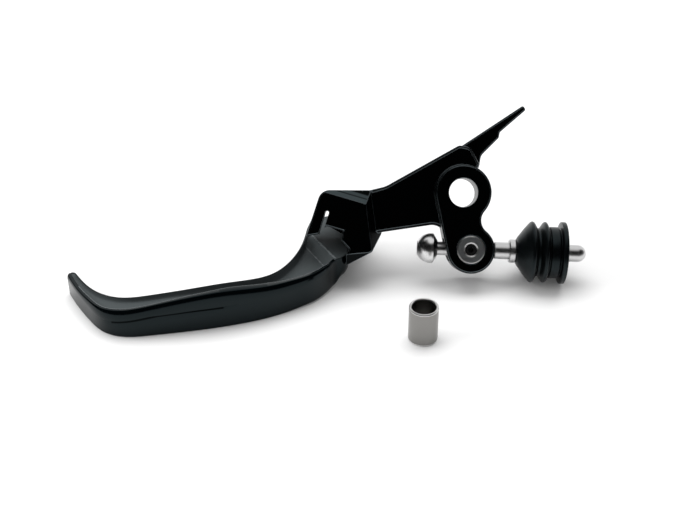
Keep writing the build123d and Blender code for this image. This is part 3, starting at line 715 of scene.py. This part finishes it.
# %% [markdown]
# The fasteners, the spring, the rod and the knob are small, and their solids already have every
# step and chamfer. They could be spun anew like the boot, but nothing would be gained. They keep
# their own meshes and only get a finish. The lathe marks on the rod and the knob run round the
# rod's line, because their noise changes only along it.

# %% Finishes on the pieces whose solids are right as they are
def dress(node, material):
    """Gives a solid its finish without touching its mesh."""
    mesh = frame["nodes"][node].data
    mesh.materials.clear()
    mesh.materials.append(material)


plain_pieces = {
    "fold_bolt": black_steel, "fold_washer": plain_steel, "fold_bush": bronze,
    "fold_spring": plain_steel, "barrel_grub_screw": black_steel, "barrel_pad": nylon,
    "pushrod": polished, "adjuster_knob": knob_polish,
}
for node, material in plain_pieces.items():
    dress(node, material)
print(len(plain_pieces), "solids dressed")

# %% [markdown]
# The barrel turns in the lower boss, and the bush carries the whole lever on its bolt. Both are
# turned from plain bar, and a bright ring shows where a chamfer or an end face mirrors the sky. So
# each is a soft copy with two finishes, and the slope of a face says which of them it gets: the
# brighter steel on those faces and on the soft edges is a painted highlight.

# %% The barrel and the bush, with bright chamfers
def two_steels(piece, body, bright):
    """Body finish everywhere; brighter steel, a painted highlight, on masked faces and soft edges.
    """
    piece.modifiers["soft_edges"].material = 1
    piece.data.materials.append(body)
    piece.data.materials.append(steel_highlight)
    piece.data.polygons.foreach_set("material_index", bright.astype(np.int32))
    print(piece.name, int(bright.sum()), "bright faces")


barrel = soft_copy("barrel", "barrel_disc", 0.16)
facing = slopes_and_middles(barrel.data)[0] @ plate_out
two_steels(barrel, plain_steel, (facing > 0.3) & (facing < 0.95))
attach(barrel, "barrel")
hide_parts("barrel")

bush = soft_copy("pivot_bush", "bush_sleeve", 0.22)
# Painted highlight: the bush's upward faces get the brighter steel.
two_steels(bush, bush_steel, slopes_and_middles(bush.data)[0][:, 2] > 0.5)
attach(bush, "carrier")
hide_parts("pivot_bush")

# %% [markdown]
# The photo shows plain white ground with soft shadows on it. A floor that only glows would be as
# even, but it would take no shadows. So the paper is lit like any surface and a little darker than
# white, which leaves room for the contact shadows; a small share of plain white is mixed in. The
# sky lights the scene weakly, but is full white wherever the camera or a mirror sees it.

# %% White floor and sky
def white_when_seen(tree, lit, shown, strength):
    """lit * (1 - share) + shown * share; share = strength for camera, mirror and glass rays."""
    path = tree.nodes.new("ShaderNodeLightPath")
    seen = path.outputs["Is Camera Ray"]
    for ray in ("Is Glossy Ray", "Is Transmission Ray"):
        either = tree.nodes.new("ShaderNodeMath")
        either.operation = "MAXIMUM"
        tree.links.new(seen, either.inputs[0])
        tree.links.new(path.outputs[ray], either.inputs[1])
        seen = either.outputs[0]
    share = tree.nodes.new("ShaderNodeMath")
    share.operation = "MULTIPLY"
    share.inputs[1].default_value = strength
    tree.links.new(seen, share.inputs[0])
    mix = tree.nodes.new("ShaderNodeMixShader")
    tree.links.new(share.outputs[0], mix.inputs[0])
    tree.links.new(lit, mix.inputs[1])
    tree.links.new(shown, mix.inputs[2])
    return mix.outputs[0]


floor_half = 4.0
floor_corners = floor_half * np.array([[-1, -1, 0], [1, -1, 0], [1, 1, 0], [-1, 1, 0]])
floor_mesh = bpy.data.meshes.new("studio_floor")
floor_mesh.from_pydata((floor_corners + [0, 0, floor_z * MM]).tolist(), [], [(0, 1, 2, 3)])
panel = bpy.data.objects.new("studio_floor", floor_mesh)
bpy.context.scene.collection.objects.link(panel)

paper = bpy.data.materials.new("white_paper")
paper.use_nodes = True
paper_tree = paper.node_tree
paper_shader = paper_tree.nodes["Principled BSDF"]
paper_shader.inputs["Base Color"].default_value = (0.74, 0.74, 0.74, 1.0)
paper_shader.inputs["Roughness"].default_value = 0.9
paper_shader.inputs["Specular IOR Level"].default_value = 0.1
paper_glow = paper_tree.nodes.new("ShaderNodeEmission")
paper_glow.inputs["Strength"].default_value = 1.0
paper_out = next(node for node in paper_tree.nodes if node.type == "OUTPUT_MATERIAL")
paper_white = white_when_seen(paper_tree, paper_shader.outputs[0], paper_glow.outputs[0], 0.04)
paper_tree.links.new(paper_white, paper_out.inputs["Surface"])
panel.data.materials.append(paper)

world = bpy.data.worlds.new("white_studio")
bpy.context.scene.world = world
world.use_nodes = True
sky_tree = world.node_tree
sky = sky_tree.nodes["Background"]
sky.inputs["Color"].default_value = (1.0, 1.0, 1.0, 1.0)
sky.inputs["Strength"].default_value = 0.45
sky_seen = sky_tree.nodes.new("ShaderNodeBackground")
sky_seen.inputs["Color"].default_value = (1.0, 1.0, 1.0, 1.0)
sky_out = next(node for node in sky_tree.nodes if node.type == "OUTPUT_WORLD")
sky_white = white_when_seen(sky_tree, sky.outputs[0], sky_seen.outputs[0], 1.0)
sky_tree.links.new(sky_white, sky_out.inputs["Surface"])
print("floor", 2 * floor_half, "m wide at", round(floor_z, 2), "mm")

# %% [markdown]
# The photo's shadows and shine tell of a large soft light above and behind the lever and a smaller
# one at its left. Two glowing panels could stand for them. Area lamps give less noise, and the
# mirror-like faces are kept from seeing them, because the photo's black faces show no bright
# squares.

# %% Lamps
def soft_lamp(name, place, aim, size, depth_size, power):
    """Rectangular area lamp at a place, its beam along (aim - place)."""
    light = bpy.data.lights.new(name, "AREA")
    light.shape = "RECTANGLE"
    light.size, light.size_y = size, depth_size
    light.energy = power
    lamp = bpy.data.objects.new(name, light)
    lamp.visible_glossy = False
    lamp.location = place
    lamp.rotation_euler = (Vector(aim) - Vector(place)).to_track_quat("-Z", "Y").to_euler()
    bpy.context.scene.collection.objects.link(lamp)
    print(name, power, "W")


soft_lamp("top_box", (-0.03, 0.28, 0.70), (-0.03, 0.0, 0.0), 1.0, 0.6, 8.4)
soft_lamp("left_box", (-0.66, -0.08, 0.31), (-0.05, 0.0, 0.0), 0.5, 0.4, 3.7)

# %% [markdown]
# The camera stands 35 degrees above the floor, almost square to the leaning plate. It could be
# moved by eye until the outlines meet, but then no two of them fit together. So its focal length
# and place were worked out from the round bore, the bush and the blade's edges in the photograph.

# %% Camera
camera_data = bpy.data.cameras.new("studio_camera")
camera_data.sensor_width = 36.0
camera_data.lens = 64.29
camera_data.clip_start, camera_data.clip_end = 0.01, 20.0
camera = bpy.data.objects.new("studio_camera", camera_data)
camera.location = (-0.03958, -0.37618, 0.23336)
camera_above = 35.0
camera.rotation_euler = (radians(90.0 - camera_above), 0.0, 0.0)
bpy.context.scene.collection.objects.link(camera)
bpy.context.scene.camera = camera
bpy.context.scene.view_settings.view_transform = "Standard"
print("camera", camera_above, "degrees above the floor, lens", round(camera_data.lens, 2), "mm")

# %% [markdown]
# Polished faces turned to the viewer are black in the photo, as if the room behind the camera were
# dark. A dark sky on that side would also dim the floor. So a dark screen bends round the camera's
# side, from the floor to well above it, and only mirror rays see it: it takes no light away.

# %% Dark screen
screen_distance = 1200.0
azimuth, elevation = np.meshgrid(
    np.radians(np.linspace(-118, 105, 45)), np.radians(np.linspace(0, 68, 18)))
level_x, level_y = np.sin(azimuth), -np.cos(azimuth)
screen_points = screen_distance * np.stack(
    [np.cos(elevation) * level_x, np.cos(elevation) * level_y, np.sin(elevation)], axis=-1)
screen = surface("dark_screen", screen_points)
screen_black = bpy.data.materials.new("screen_black")
screen_black.use_nodes = True
screen_shader = screen_black.node_tree.nodes["Principled BSDF"]
screen_shader.inputs["Base Color"].default_value = (0.002, 0.002, 0.002, 1.0)
screen_shader.inputs["Specular IOR Level"].default_value = 0.0
screen.data.materials.append(screen_black)
screen.visible_camera = False
screen.visible_diffuse = False
screen.visible_shadow = False
